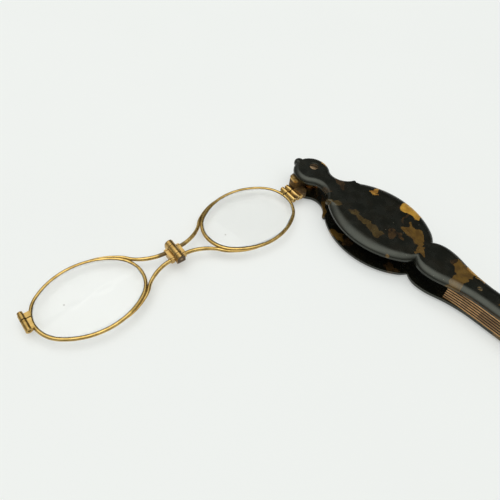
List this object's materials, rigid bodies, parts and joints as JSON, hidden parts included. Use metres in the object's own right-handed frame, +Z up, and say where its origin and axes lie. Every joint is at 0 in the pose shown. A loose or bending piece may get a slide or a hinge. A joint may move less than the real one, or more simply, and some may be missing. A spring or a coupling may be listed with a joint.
{
  "type": "folding lorgnette",
  "caption": "Folding lorgnette: an oval lens pair with a hinged bridge swings out of a slotted two-plate case that narrows into a slender handle with a reeded metal edge.",
  "frame": {"origin": "on the pivot screw's axis, at the flat underside of the back plate", "axes": "+Z up from the underside along the pivot screw; the handle runs along -Y; the open lens pair runs towards -X"},
  "size_m": [0.1314, 0.1462, 0.0109],
  "materials": {
    "shell": "polished, dark with translucent amber and red-brown mottling",
    "reeded_brass": "aged, lengthwise reeding with dark grooves",
    "brass": "aged satin",
    "copper": "aged, coppery",
    "gilt_frame": "polished gilt with slight wear",
    "spring_steel": "drawn wire",
    "lens_glass": "clear"
  },
  "bodies": {
    "root": {"front_plate": "shell", "back_plate": "shell", "reeded_spacer": "reeded_brass", "handle_rivets": "brass", "rivet_tubes": "brass", "pivot_screw": "brass", "pivot_nut": "brass", "upper_washer": "copper", "lower_washer": "copper"},
    "near_frame": {"pivot_arm": "gilt_frame", "arm_pin": "gilt_frame", "near_upper_tubes": "gilt_frame", "near_lower_tube": "gilt_frame", "near_closing_screw": "gilt_frame", "near_rim": "gilt_frame", "near_lens": "lens_glass", "near_bridge_wires": "gilt_frame", "near_hinge": "gilt_frame", "hinge_pin": "brass", "hinge_spring": "spring_steel"},
    "far_frame": {"far_hinge": "gilt_frame", "far_bridge_wires": "gilt_frame", "far_rim": "gilt_frame", "far_lens": "lens_glass", "far_upper_tube": "gilt_frame", "far_lower_tube": "gilt_frame", "far_closing_screw": "gilt_frame"}
  },
  "joints": [
    {"name": "swing", "type": "hinge", "parent": "root", "child": "near_frame", "pos_m": [0, 0, 0], "axis": [0, 0, 1], "range_deg": [0, 82]},
    {"name": "fold", "type": "hinge", "parent": "near_frame", "child": "far_frame", "pos_m": [-0.0654, 0.00522, 0.00545], "axis": [0.1236, 0.9923, 0], "range_deg": [0, 180], "stiffness_Nm_per_rad": 0.0015, "springref_deg": -85.94}
  ]
}
